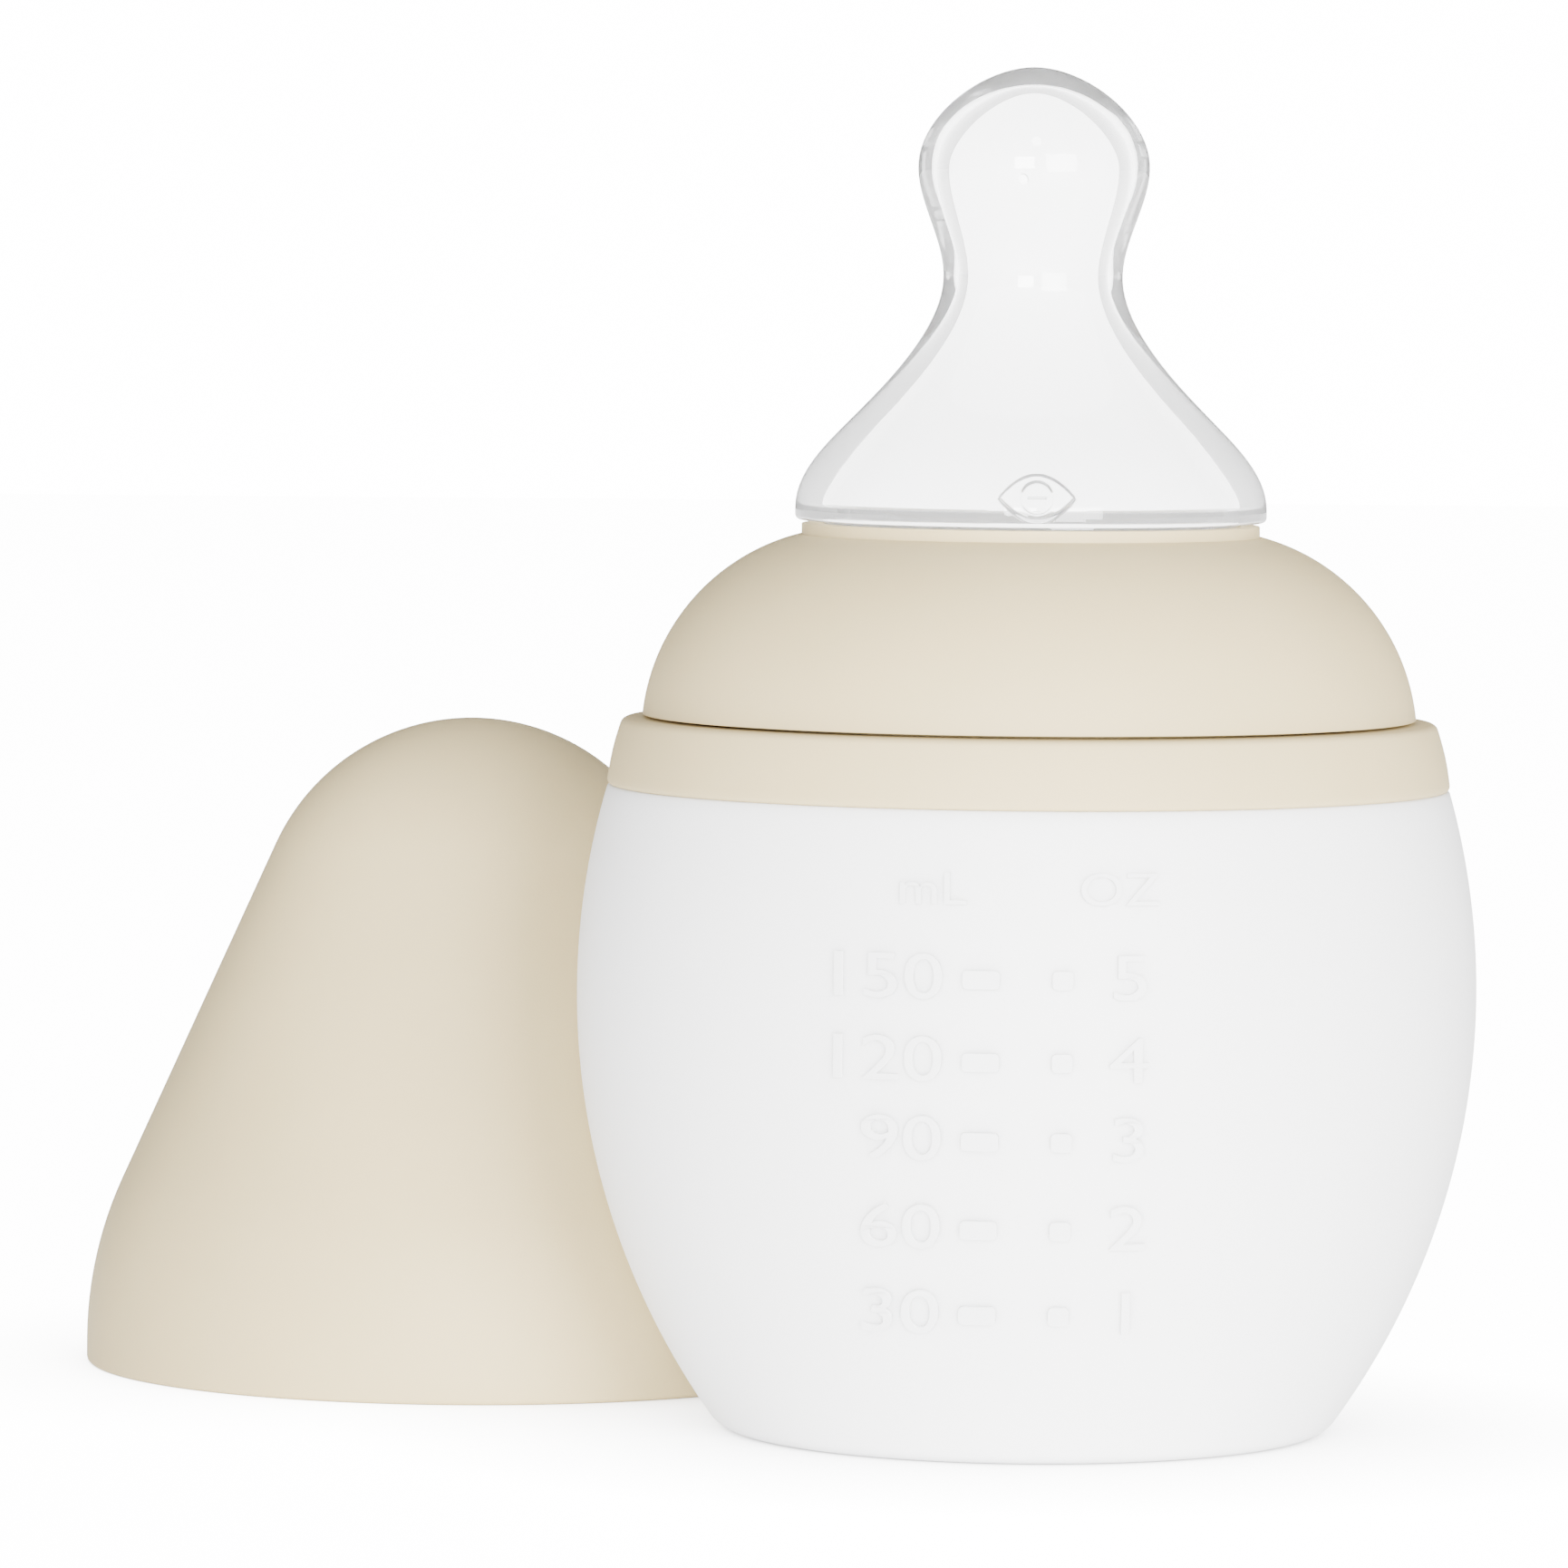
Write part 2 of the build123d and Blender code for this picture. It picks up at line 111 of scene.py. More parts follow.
def turn_on_lathe(name, outline, centre=(0.0, 0.0)):
    """A closed shell pulled from ring to ring; a point is (radius, height) or (width, depth, height)."""
    rings = [(point[0], point[-2], point[-1]) for point in outline]
    first = 1 if rings[0][0] == 0 else 0
    width, depth, height = rings[first]
    bpy.ops.object.select_all(action="DESELECT")
    bpy.ops.mesh.primitive_circle_add(vertices=ROUND_STEPS, radius=1, location=(*centre, height))
    piece = bpy.context.object
    piece.name = name
    piece.scale = (width, depth, 1)
    bpy.ops.object.transform_apply(location=True, rotation=True, scale=True)
    bpy.ops.object.mode_set(mode="EDIT")
    bpy.ops.mesh.select_all(action="SELECT")
    for before, after in zip(rings[first:], rings[first + 1 :]):
        pull_ring(before, after, centre)
    if first:
        select_open_edges()
        pull_ring(rings[1], rings[0], centre)
        bpy.ops.mesh.select_mode(type="VERT")
    close_skin()
    return piece


def round_corners(piece, width, segments=3):
    """Rounds the moulding's sharp corners and smooths the rest."""
    bevel = piece.modifiers.new("corners", "BEVEL")
    bevel.width = width
    bevel.segments = segments
    bevel.angle_limit = math.radians(40)
    bpy.context.view_layer.objects.active = piece
    bpy.ops.object.modifier_apply(modifier=bevel.name)
    bpy.ops.object.select_all(action="DESELECT")
    piece.select_set(True)
    bpy.ops.object.shade_smooth_by_angle(angle=math.radians(38))


def side_angle(z, inset=0.0):
    """Angle on the side's arc at a height, with the arc moved in by an inset."""
    return math.asin((z - BODY_WIDEST_Z) / (SIDE_ARC - inset))


def side_radius(z, inset=0.0):
    """Radius of the body's side at a height."""
    return BODY_WIDEST - SIDE_ARC + (SIDE_ARC - inset) * math.cos(side_angle(z, inset))


def base_corner(edge, floor_z, inset):
    """Centre of the rounded edge between the base and the side, and the angle where the side takes over."""
    rise = BODY_WIDEST_Z - floor_z - edge
    reach = SIDE_ARC - inset - edge
    centre = (BODY_WIDEST - SIDE_ARC + math.sqrt(reach**2 - rise**2), floor_z + edge)
    return centre, -math.asin(rise / reach)


def body_outline():
    """From the middle of the floor inside, over the lip, and down the outside to the middle of the base."""
    side_centre = (BODY_WIDEST - SIDE_ARC, BODY_WIDEST_Z)
    inner_centre, inner_turn = base_corner(BASE_INNER_EDGE, BASE_THICKNESS, BODY_WALL)
    outer_centre, outer_turn = base_corner(BASE_EDGE, 0.0, 0.0)
    throat_z = SHOULDER_Z - BODY_WALL
    throat_turn = side_angle(throat_z - THROAT_EDGE, BODY_WALL)
    outline = [(0, BASE_THICKNESS)]
    outline += arc(inner_centre, BASE_INNER_EDGE, -math.pi / 2, inner_turn, 8)
    outline += arc(side_centre, SIDE_ARC - BODY_WALL, inner_turn, throat_turn, 30)[1:]
    throat_side = side_radius(throat_z, BODY_WALL)
    cut_in, cut_down = THROAT_CHAMFER
    outline += [(throat_side - THROAT_EDGE * cut_in, throat_z - THROAT_EDGE * cut_down)]
    outline += [(throat_side - THROAT_EDGE, throat_z)]
    outline += arc((NECK_BORE + THROAT_EDGE, throat_z + THROAT_EDGE), THROAT_EDGE, -math.pi / 2, -math.pi, 6)
    outline += [(NECK_BORE, LIP_TOP_Z), (LIP_FOLD_RADIUS, LIP_TOP_Z), (LIP_FOLD_RADIUS, LIP_FOLD_Z)]
    outline += [(NECK_RADIUS, LIP_FOLD_Z), (NECK_RADIUS, SHOULDER_Z)]
    outline += arc(side_centre, SIDE_ARC, side_angle(SHOULDER_Z), outer_turn, 48)
    outline += arc(outer_centre, BASE_EDGE, outer_turn, -math.pi / 2, 10)[1:]
    outline += [(GROOVE_OUTER, 0), (GROOVE_OUTER, GROOVE_DEPTH), (GROOVE_INNER, GROOVE_DEPTH)]
    return outline + [(GROOVE_INNER, 0), (0, 0)]


def moulded_grain():
    """Shader group: the fine skin that a mould leaves, and slow changes of shade across a moulding."""
    group = bpy.data.node_groups.new("moulded_grain", "ShaderNodeTree")
    sockets = group.interface
    grains = sockets.new_socket(name="Grains per metre", in_out="INPUT", socket_type="NodeSocketFloat")
    patches = sockets.new_socket(name="Patches per metre", in_out="INPUT", socket_type="NodeSocketFloat")
    sockets.new_socket(name="Height", in_out="OUTPUT", socket_type="NodeSocketFloat")
    sockets.new_socket(name="Mottle", in_out="OUTPUT", socket_type="NodeSocketFloat")
    grains.default_value = 4000
    patches.default_value = 60
    nodes, links = group.nodes, group.links
    given = nodes.new("NodeGroupInput")
    result = nodes.new("NodeGroupOutput")
    place = nodes.new("ShaderNodeTexCoord")
    skin = nodes.new("ShaderNodeTexNoise")
    skin.inputs["Detail"].default_value = 3
    shade = nodes.new("ShaderNodeTexNoise")
    shade.inputs["Detail"].default_value = 4
    links.new(place.outputs["Object"], skin.inputs["Vector"])
    links.new(place.outputs["Object"], shade.inputs["Vector"])
    links.new(given.outputs["Grains per metre"], skin.inputs["Scale"])
    links.new(given.outputs["Patches per metre"], shade.inputs["Scale"])
    links.new(skin.outputs["Fac"], result.inputs["Height"])
    links.new(shade.outputs["Fac"], result.inputs["Mottle"])
    return group


GRAIN = moulded_grain()


def add_grain(material, grains, patches, depth):
    """Puts the moulded skin on a material's normal and hands back its mottle for colour and gloss."""
    nodes, links = material.node_tree.nodes, material.node_tree.links
    shader = nodes["Principled BSDF"]
    grain = nodes.new("ShaderNodeGroup")
    grain.node_tree = GRAIN
    grain.inputs["Grains per metre"].default_value = grains
    grain.inputs["Patches per metre"].default_value = patches
    bump = nodes.new("ShaderNodeBump")
    bump.inputs["Strength"].default_value = 1
    bump.inputs["Distance"].default_value = depth
    links.new(grain.outputs["Height"], bump.inputs["Height"])
    links.new(bump.outputs["Normal"], shader.inputs["Normal"])
    return grain.outputs["Mottle"]


def vary(material, mottle, socket, low, high):
    """Lets the mottle move a number between two values across the surface."""
    nodes, links = material.node_tree.nodes, material.node_tree.links
    span = nodes.new("ShaderNodeMapRange")
    span.inputs["From Min"].default_value = MOTTLE_LOW
    span.inputs["From Max"].default_value = MOTTLE_HIGH
    span.inputs["To Min"].default_value = low
    span.inputs["To Max"].default_value = high
    links.new(mottle, span.inputs["Value"])
    links.new(span.outputs["Result"], nodes["Principled BSDF"].inputs[socket])


def tint(material, mottle, low, high):
    """Lets the mottle move the base colour between two close shades."""
    nodes, links = material.node_tree.nodes, material.node_tree.links
    shades = nodes.new("ShaderNodeValToRGB")
    shades.color_ramp.elements[0].position = MOTTLE_LOW
    shades.color_ramp.elements[0].color = (*low, 1)
    shades.color_ramp.elements[1].position = MOTTLE_HIGH
    shades.color_ramp.elements[1].color = (*high, 1)
    links.new(mottle, shades.inputs["Fac"])
    links.new(shades.outputs["Color"], nodes["Principled BSDF"].inputs["Base Color"])


def moulded_material(name, ior, grain, gloss, shades):
    """A material with the moulded skin, whose mottle moves its roughness and colour between two values."""
    material = bpy.data.materials.new(name)
    material.use_nodes = True
    material.node_tree.nodes["Principled BSDF"].inputs["IOR"].default_value = ior
    mottle = add_grain(material, *grain)
    vary(material, mottle, "Roughness", *gloss)
    tint(material, mottle, *shades)
    return material


def let_light_in(material, weight, radius, scale):
    """Scatters light under the skin: how much of it, how far each colour goes, and the depth in metres."""
    shader = material.node_tree.nodes["Principled BSDF"]
    shader.inputs["Subsurface Weight"].default_value = weight
    shader.inputs["Subsurface Radius"].default_value = radius
    shader.inputs["Subsurface Scale"].default_value = scale


def frosted_silicone():
    shades = ((0.94, 0.942, 0.942), (0.965, 0.967, 0.967))
    material = moulded_material("frosted_silicone", SILICONE_IOR, (2600, 40, 0.00002), (0.42, 0.52), shades)
    let_light_in(material, 1.0, SILICONE_SCATTER, 0.0015)
    return material


bottle_body = turn_on_lathe("bottle_body_silicone", body_outline())
round_corners(bottle_body, MOULD_CORNER)
bottle_body.data.materials.append(frosted_silicone())
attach(bottle_body, "bottle")
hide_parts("bottle_body")


# === Scale marks ===================================================================================
# Raised marks on the front of the body: millilitres on the left, ounces on the right, with a dash beside
# each number. They are cut into the body's mould; their colour is painted a shade darker than the body's,
# a painted shade that lets the relief show.
MARK_RELIEF = 0.00028
MARK_SUNK = 0.0001
DIGIT_SIZE = 0.0056
DIGIT_STRETCH = 1.3
HEADER_SIZE = 0.0040
HEADER_Z = 0.0512
HEADER_STRETCH = 1.2
ML_HEADER_END_X = -0.0061
OZ_HEADER_START_X = 0.0034
DASH_HEIGHT = 0.0016
ML_DASH = (-0.0065, -0.0033)
OZ_DASH = (0.0012, 0.0030)
ML_END_X = -0.0080
OZ_START_X = 0.0061
SCALE_ROWS = (
    (0.0141, "30", "1"),
    (0.0218, "60", "2"),
    (0.0296, "90", "3"),
    (0.0365, "120", "4"),
    (0.0436, "150", "5"),
)
IN_FRONT_Y = -0.06
DASH_CORNER = 0.0004
FIGURE_WELD = 0.00002


def lay_on_front(mark):
    """Projects a flat mark onto the front of the body and gives it its relief."""
    bpy.ops.object.select_all(action="DESELECT")
    mark.select_set(True)
    bpy.context.view_layer.objects.active = mark
    bpy.ops.object.transform_apply(location=True, rotation=True, scale=True)
    wrap = mark.modifiers.new("on_the_body", "SHRINKWRAP")
    wrap.target = bottle_body
    wrap.wrap_method = "PROJECT"
    wrap.use_project_y = True
    relief = mark.modifiers.new("relief", "SOLIDIFY")
    relief.thickness = MARK_RELIEF + MARK_SUNK
    relief.offset = 1 - 2 * MARK_SUNK / relief.thickness
    bpy.ops.object.modifier_apply(modifier=wrap.name)
    bpy.ops.object.modifier_apply(modifier=relief.name)
    return mark


def figure(text, size, stretch, x, z, side):
    """A number or a unit, lined up on one side of a place on the front."""
    bpy.ops.object.select_all(action="DESELECT")
    bpy.ops.object.text_add(location=(x, IN_FRONT_Y, z), rotation=(math.pi / 2, 0, 0))
    words = bpy.context.object
    words.scale = (stretch, 1, 1)
    words.data.body = text
    words.data.size = size
    words.data.align_x = side
    words.data.align_y = "CENTER"
    words.data.resolution_u = 6
    bpy.ops.object.convert(target="MESH")
    bpy.ops.object.mode_set(mode="EDIT")
    bpy.ops.mesh.select_all(action="SELECT")
    bpy.ops.mesh.remove_doubles(threshold=FIGURE_WELD)
    bpy.ops.object.mode_set(mode="OBJECT")
    return lay_on_front(bpy.context.object)


def dash(ends, z):
    """A short bar with rounded corners."""
    bpy.ops.object.select_all(action="DESELECT")
    middle = ((ends[0] + ends[1]) / 2, IN_FRONT_Y, z)
    bpy.ops.mesh.primitive_plane_add(size=1, location=middle, rotation=(math.pi / 2, 0, 0))
    bar = bpy.context.object
    bar.scale = (ends[1] - ends[0], DASH_HEIGHT, 1)
    bpy.ops.object.transform_apply(location=False, rotation=False, scale=True)
    bpy.ops.object.mode_set(mode="EDIT")
    bpy.ops.mesh.select_all(action="SELECT")
    bpy.ops.mesh.bevel(offset=DASH_CORNER, segments=4, affect="VERTICES")
    bpy.ops.object.mode_set(mode="OBJECT")
    return lay_on_front(bar)


def join_to(piece, *others):
    """Makes several meshes one object, under the first one's name."""
    bpy.ops.object.select_all(action="DESELECT")
    for other in (*others, piece):
        other.select_set(True)
    bpy.context.view_layer.objects.active = piece
    bpy.ops.object.join()


def mark_silicone_painted_shade():
    # Darker than the body's colour: painted shade that makes the raised marks show.
    shades = ((0.855, 0.858, 0.86), (0.88, 0.882, 0.884))
    material = moulded_material("mark_silicone_painted_shade", SILICONE_IOR, (2600, 40, 0.00001), (0.44, 0.52), shades)
    let_light_in(material, 0.4, SILICONE_SCATTER, 0.0003)
    return material


marks = [figure("mL", HEADER_SIZE, HEADER_STRETCH, ML_HEADER_END_X, HEADER_Z, "RIGHT")]
marks.append(figure("OZ", HEADER_SIZE, HEADER_STRETCH, OZ_HEADER_START_X, HEADER_Z, "LEFT"))
for row_z, millilitres, ounces in SCALE_ROWS:
    marks.append(figure(millilitres, DIGIT_SIZE, DIGIT_STRETCH, ML_END_X, row_z, "RIGHT"))
    marks.append(figure(ounces, DIGIT_SIZE, DIGIT_STRETCH, OZ_START_X, row_z, "LEFT"))
    marks.append(dash(ML_DASH, row_z))
    marks.append(dash(OZ_DASH, row_z))
join_to(*marks)
scale_marks = marks[0]
scale_marks.name = "scale_marks"
scale_marks.data.materials.append(mark_silicone_painted_shade())
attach(scale_marks, "bottle")


# === Neck ring =====================================================================================
# A stiff beige ring round the soft neck: a flush skirt outside, the ledge that carries the cap, and a
# spigot with the male thread. It is moulded polypropylene with a fine matte finish.
SKIRT_FOOT = 0.03795
LEDGE_RADIUS = 0.0366
LEDGE_Z = 0.064
LEDGE_WALL = 0.0016
SKIRT_WALL = 0.0019
SKIRT_BOW = 0.0002
RING_CORNER = 0.0005
SPIGOT_RADIUS = 0.0312
RIDGE_PITCH = 0.0025
RIDGE_DEPTH = 0.00085
RIDGE_ROOT = 0.0012
RIDGE_CREST = 0.0006
RIDGE_BITE = 0.0001
RIDGE_START = 0.0011
RIDGE_STEPS = 120
PLASTIC_IOR = 1.49


def ring_outline():
    """Round the ring's section, back to the first point."""
    rise = LEDGE_Z - SHOULDER_Z
    skirt = []
    for i in range(7):
        share = i / 6
        radius = SKIRT_FOOT + (LEDGE_RADIUS - SKIRT_FOOT) * share + SKIRT_BOW * math.sin(math.pi * share)
        skirt.append((radius, SHOULDER_Z + rise * share))
    under = LEDGE_Z - LEDGE_WALL
    inside = [(SPIGOT_RADIUS, LEDGE_Z), (SPIGOT_RADIUS, LIP_FOLD_Z), (NECK_RADIUS, LIP_FOLD_Z)]
    inside += [(NECK_RADIUS, SHOULDER_Z), (SPIGOT_RADIUS, SHOULDER_Z), (SPIGOT_RADIUS, under)]
    inside += [(LEDGE_RADIUS - SKIRT_WALL, under), (SKIRT_FOOT - SKIRT_WALL, SHOULDER_Z), skirt[0]]
    return skirt + inside


def thread_ridge(name, wall, outwards, start_z, start_turn):
    """One helical ridge: its section is a plane's outline, carried round once by the screw modifier."""
    side = 1 if outwards else -1
    bpy.ops.object.select_all(action="DESELECT")
    bpy.ops.mesh.primitive_plane_add(size=1, location=(0, 0, 0), rotation=(math.pi / 2, 0, 0))
    ridge = bpy.context.object
    ridge.name = name
    bpy.ops.object.transform_apply(location=True, rotation=True, scale=True)
    bpy.ops.object.mode_set(mode="EDIT")
    bpy.ops.mesh.delete(type="ONLY_FACE")
    section = bmesh.from_edit_mesh(ridge.data)
    for corner in section.verts:
        at_crest = corner.co.x > 0
        half = (RIDGE_CREST if at_crest else RIDGE_ROOT) / 2
        reach = RIDGE_DEPTH if at_crest else -RIDGE_BITE
        corner.co = Vector((wall + side * reach, 0, start_z + math.copysign(half, corner.co.z)))
    bmesh.update_edit_mesh(ridge.data)
    bpy.ops.mesh.select_all(action="SELECT")
    bpy.ops.transform.rotate(value=-start_turn, orient_axis="Z", center_override=(0, 0, 0))
    bpy.ops.object.mode_set(mode="OBJECT")
    screw = ridge.modifiers.new("helix", "SCREW")
    screw.axis = "Z"
    screw.screw_offset = RIDGE_PITCH
    screw.steps = RIDGE_STEPS
    screw.render_steps = RIDGE_STEPS
    bpy.ops.object.modifier_apply(modifier=screw.name)
    bpy.ops.object.mode_set(mode="EDIT")
    select_open_edges()
    bpy.ops.mesh.edge_face_add()
    bpy.ops.mesh.select_mode(type="VERT")
    close_skin()
    return ridge


def beige_plastic():
    shades = ((0.53, 0.43, 0.228), (0.555, 0.45, 0.242))
    material = moulded_material("beige_plastic", PLASTIC_IOR, (5200, 55, 0.000012), (0.56, 0.66), shades)
    material.node_tree.nodes["Principled BSDF"].inputs["Specular IOR Level"].default_value = 0.35
    let_light_in(material, 0.15, (1.0, 0.8, 0.5), 0.0015)
    return material


BEIGE = beige_plastic()
neck_ring = turn_on_lathe("neck_ring_plastic", ring_outline())
round_corners(neck_ring, RING_CORNER, 4)
male_thread = thread_ridge("male_thread", SPIGOT_RADIUS, True, LEDGE_Z + RIDGE_START, 0)
join_to(neck_ring, male_thread)
neck_ring.data.materials.append(BEIGE)
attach(neck_ring, "bottle")
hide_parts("neck_ring")


# === Screw collar ==================================================================================
# A thin beige dome that screws onto the neck ring and clamps the teat on the bottle's lip. Its upright
# top lip grips the groove of the teat. The same matte polypropylene as the ring.
DOME_ARC = 0.0188
DOME_CENTRE = (0.0161, 0.0624)
DOME_WALL = 0.0015
COLLAR_FOOT_Z = 0.0643
COLLAR_BORE = 0.03235
COLLAR_LIP_OUTER = 0.0206
COLLAR_LIP_INNER = 0.0189
COLLAR_LIP_TOP = 0.0816
CREASE = 0.00018
FLANK_GAP = 0.0002


def dome_angle(radius, inset=0.0):
    """Angle on the dome's arc at a radius, with the arc moved in by an inset."""
    return math.acos((radius - DOME_CENTRE[0]) / (DOME_ARC - inset))


def dome_z(radius, inset=0.0):
    """Height of the dome at a radius."""
    return DOME_CENTRE[1] + (DOME_ARC - inset) * math.sin(dome_angle(radius, inset))


def collar_outline():
    """Round the collar's section, back to the first point."""
    foot_turn = math.asin((COLLAR_FOOT_Z - DOME_CENTRE[1]) / DOME_ARC)
    crease_r = COLLAR_LIP_OUTER + CREASE
    outline = arc(DOME_CENTRE, DOME_ARC, foot_turn, dome_angle(crease_r), 36)
    outline += [(crease_r - CREASE * 0.5, dome_z(crease_r) - CREASE), (COLLAR_LIP_OUTER, dome_z(crease_r))]
    outline += [(COLLAR_LIP_OUTER, COLLAR_LIP_TOP), (COLLAR_LIP_INNER, COLLAR_LIP_TOP)]
    inner_start, inner_end = dome_angle(COLLAR_LIP_INNER, DOME_WALL), dome_angle(COLLAR_BORE, DOME_WALL)
    outline += arc(DOME_CENTRE, DOME_ARC - DOME_WALL, inner_start, inner_end, 24)
    outline += [(COLLAR_BORE, COLLAR_FOOT_Z), outline[0]]
    return outline


collar = turn_on_lathe("collar_plastic", collar_outline())
round_corners(collar, MOULD_CORNER)
ridge_drop = (RIDGE_ROOT + RIDGE_CREST) / 2 + FLANK_GAP
female_z = LEDGE_Z + RIDGE_START - ridge_drop + RIDGE_PITCH / 2
female_thread = thread_ridge("female_thread", COLLAR_BORE, False, female_z, math.pi)
join_to(collar, female_thread)
collar.data.materials.append(BEIGE)
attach(collar, "collar")
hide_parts("collar")


# === Teat ==========================================================================================
# Clear, glossy liquid silicone: a flange under the collar, a bulge over the collar's lip and a nipple
# that is flattened front and back. A vent valve in an eye-shaped dip and two feeding holes are moulded in.
TEAT_WALL = 0.0016
NIPPLE_WALL = 0.0024
BULB_WALL = 0.0030
NIPPLE_FLATTEN = 0.76
NECK_HALF_WIDTH = 0.00805
NECK_Z = 0.1038
BULB_HALF_WIDTH = 0.01035
BULB_Z = 0.1144
TEAT_GAP = 0.0003
SEAT_INNER = 0.027
THROAT_RADIUS = COLLAR_LIP_INNER - TEAT_GAP
BULGE = 0.0212
BULGE_Z = 0.083
BULGE_FILLET = 0.0005
FLANK = ((0.0168, 0.0904), (0.01094, 0.0969))
TIP_Z = 0.1226
TIP_GAP = 0.0004
NIPPLE_STEPS = 72
CURVE_ROUNDS = 80


def fair_curve(points, start_slope, end_slope):
    """Smooth curve through points, with no jump in curvature: hands back its place and slope at a share."""
    spans = [math.dist(a, b) for a, b in zip(points, points[1:])]
    last = len(spans)
    bends = [[0.0] * len(points[0]) for _ in points]
    for _ in range(CURVE_ROUNDS):
        for i in range(last + 1):
            before, after = spans[max(i - 1, 0)], spans[min(i, last - 1)]
            for k in range(len(points[0])):
                into = (points[i][k] - points[i - 1][k]) / before if i else start_slope[k]
                out = (points[i + 1][k] - points[i][k]) / after if i < last else end_slope[k]
                pull = (before * bends[i - 1][k] if i else 0) + (after * bends[i + 1][k] if i < last else 0)
                stiffness = 2 * ((before if i else 0) + (after if i < last else 0))
                bends[i][k] = (6 * (out - into) - pull) / stiffness

    def at(share):
        along = share * sum(spans)
        i = 0
        while i < last - 1 and along > spans[i]:
            along -= spans[i]
            i += 1
        h = spans[i]
        t = along / h
        place, slope = [], []
        for k in range(len(points[0])):
            a, b = points[i][k], points[i + 1][k]
            u, v = bends[i][k] * h * h / 6, bends[i + 1][k] * h * h / 6
            place.append((1 - t) * a + t * b + ((1 - t) ** 3 - (1 - t)) * u + (t**3 - t) * v)
            slope.append((b - a - (3 * (1 - t) ** 2 - 1) * u + (3 * t * t - 1) * v) / h)
        return place, slope

    return at


def ease(amount):
    """Smooth step from nought to one."""
    t = max(0.0, min(1.0, amount))
    return t * t * (3 - 2 * t)


def flatness(z):
    """Depth over width of the nipple: round at the bulge, flattened front and back from the neck up."""
    return 1 - (1 - NIPPLE_FLATTEN) * ease((z - BULGE_Z) / (NECK_Z - BULGE_Z))


def nipple(inside):
    """Rings of the nipple from the bulge to just under the tip, outside or inside its wall."""
    knots = [(BULGE, BULGE_Z), *FLANK, (NECK_HALF_WIDTH, NECK_Z), (BULB_HALF_WIDTH, BULB_Z), (0, TIP_Z)]
    side = fair_curve(knots, (0, 1), (-1, 0))
    rings = []
    for i in range(NIPPLE_STEPS):
        (width, z), (lean, climb) = side(i / NIPPLE_STEPS)
        depth = width * flatness(z)
        if inside:
            wall = NIPPLE_WALL + (BULB_WALL - NIPPLE_WALL) * ease((z - NECK_Z) / (BULB_Z - NECK_Z))
            steep = math.hypot(lean, climb)
            width -= wall * climb / steep
            depth -= wall * climb / math.hypot(lean * flatness(z), climb)
            z += wall * lean / steep
        rings.append((width, depth, z))
    return [ring for ring in rings if min(ring[:2]) > TIP_GAP]


def teat_outline():
    """From inside the tip down to the flange, out round it, and up the outside to the tip."""
    inset = DOME_WALL + TEAT_GAP
    lining = inset + TEAT_WALL
    throat = THROAT_RADIUS - TEAT_WALL
    seat_top = LIP_TOP_Z + TEAT_WALL
    lining_foot = math.asin((seat_top + TEAT_WALL / 2 - DOME_CENTRE[1]) / (DOME_ARC - lining))
    skirt_foot = math.asin((seat_top - DOME_CENTRE[1]) / (DOME_ARC - inset))
    flange_radius = DOME_CENTRE[0] + (DOME_ARC - inset) * math.cos(skirt_foot)
    outline = [(0, 0, TIP_Z - BULB_WALL)] + nipple(True)[::-1]
    outline += [(throat, COLLAR_LIP_TOP - TEAT_WALL / 2)]
    outline += arc(DOME_CENTRE, DOME_ARC - lining, dome_angle(throat, lining), lining_foot, 14)
    outline += [(outline[-1][0], seat_top), (SEAT_INNER, seat_top), (SEAT_INNER, LIP_TOP_Z)]
    outline += [(flange_radius, LIP_TOP_Z)]
    outline += arc(DOME_CENTRE, DOME_ARC - inset, skirt_foot, dome_angle(THROAT_RADIUS, inset), 16)
    outline += [(THROAT_RADIUS, COLLAR_LIP_TOP + TEAT_GAP)]
    foot = COLLAR_LIP_TOP + TEAT_GAP + BULGE_FILLET
    outline += arc((BULGE - BULGE_FILLET, foot), BULGE_FILLET, -math.pi / 2, 0, 6)
    outline += nipple(False)
    outline += [(0, 0, TIP_Z)]
    return outline


def clear_silicone():
    shades = ((0.965, 0.967, 0.97), (0.98, 0.982, 0.984))
    material = moulded_material("clear_silicone", SILICONE_IOR, (900, 120, 0.000002), (0.02, 0.04), shades)
    material.node_tree.nodes["Principled BSDF"].inputs["Transmission Weight"].default_value = 0.87
    depth = material.node_tree.nodes.new("ShaderNodeVolumeAbsorption")
    depth.inputs["Color"].default_value = (0.5, 0.5, 0.5, 1)
    depth.inputs["Density"].default_value = 80
    surface = material.node_tree.nodes["Material Output"]
    material.node_tree.links.new(depth.outputs["Volume"], surface.inputs["Volume"])
    return material


VENT_Z = 0.0845
VENT_HALF_WIDTH = 0.0035
VENT_HALF_HEIGHT = 0.0022
VENT_DEPTH = 0.0008
VENT_DISC = 0.00155
VENT_DISC_RISE = 0.00055
VENT_EDGE = 0.0004
VENT_DISC_EDGE = 0.00025
VENT_SLIT = (0.0008, 0.00009)
VENT_SLIT_DEPTH = 0.0004
VENT_CUTS = 7
FEED_HOLE = 0.00045
FEED_HOLES = ((0, -1, 0.1159), (-0.0008, 1, 0.1128))
NEEDLE_LENGTH = 0.012
NEEDLE_REACH = 0.008


